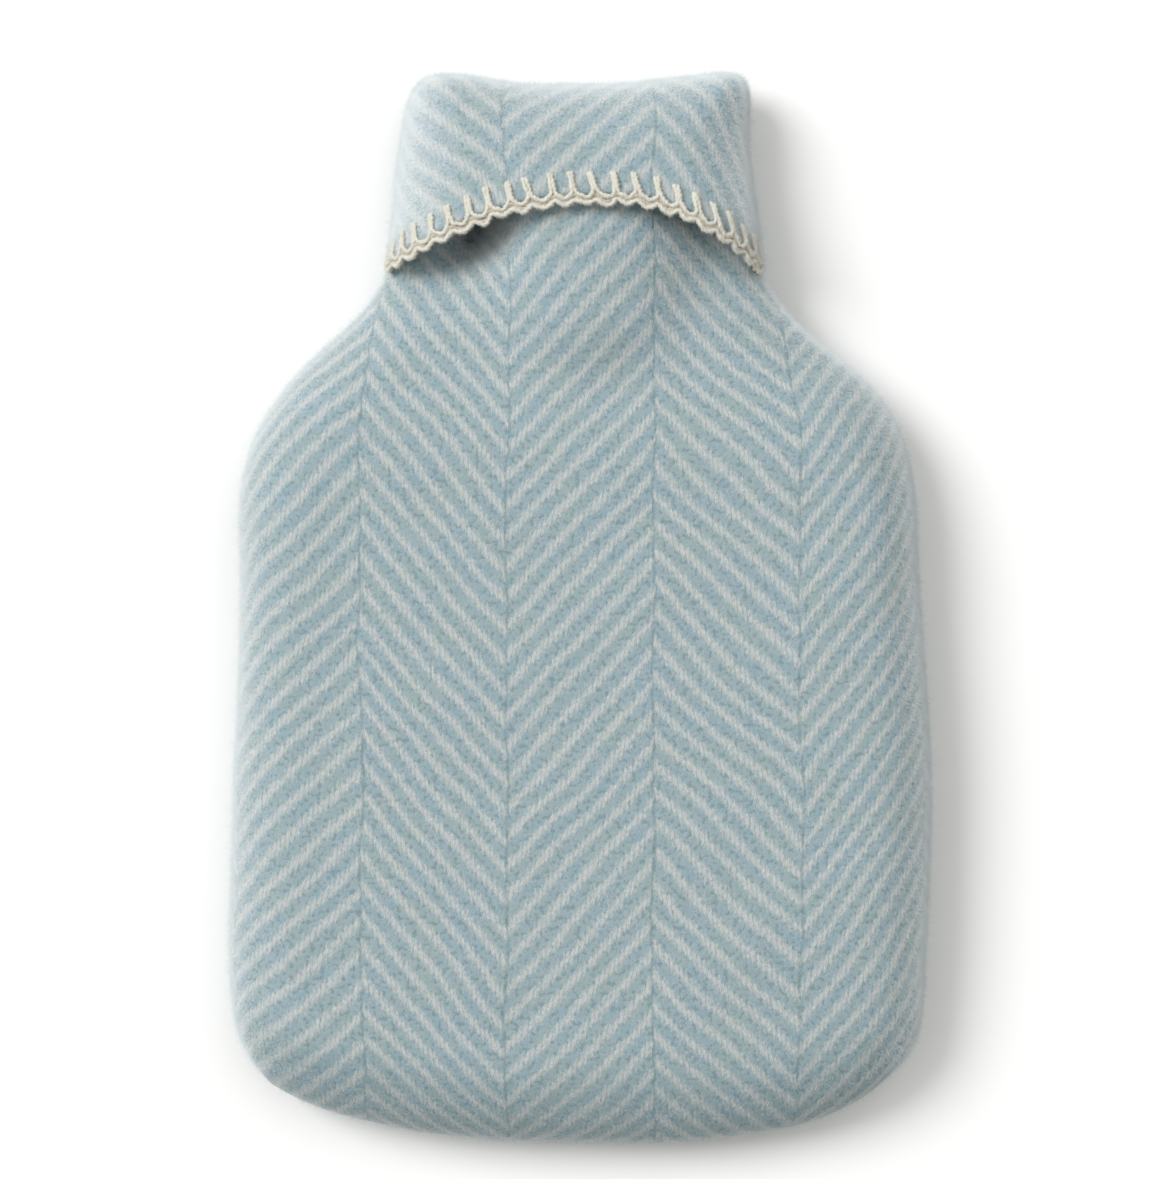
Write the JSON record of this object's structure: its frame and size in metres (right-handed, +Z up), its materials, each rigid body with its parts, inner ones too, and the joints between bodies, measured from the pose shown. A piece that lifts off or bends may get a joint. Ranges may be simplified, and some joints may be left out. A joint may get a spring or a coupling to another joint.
{
  "type": "hot water bottle cover",
  "caption": "Brushed wool cover for a hot water bottle, filled out and lying on its back, with a neck flap folded forward and edged in blanket stitch.",
  "frame": {"origin": "bottom centre of the bounding box, on the surface the cover lies on", "axes": "+Z up from the surface to the front of the cover, +Y along the cover towards the fold at its neck, +X across it to the right as seen from above"},
  "size_m": [0.2249, 0.3439, 0.0469],
  "materials": {
    "wool": "brushed wool cloth, herringbone weave in light blue and cream",
    "yarn": "cream wool yarn"
  },
  "bodies": {
    "root": {"front_panel": "wool", "back_panel": "wool", "blanket_stitch": "yarn"}
  },
  "joints": []
}
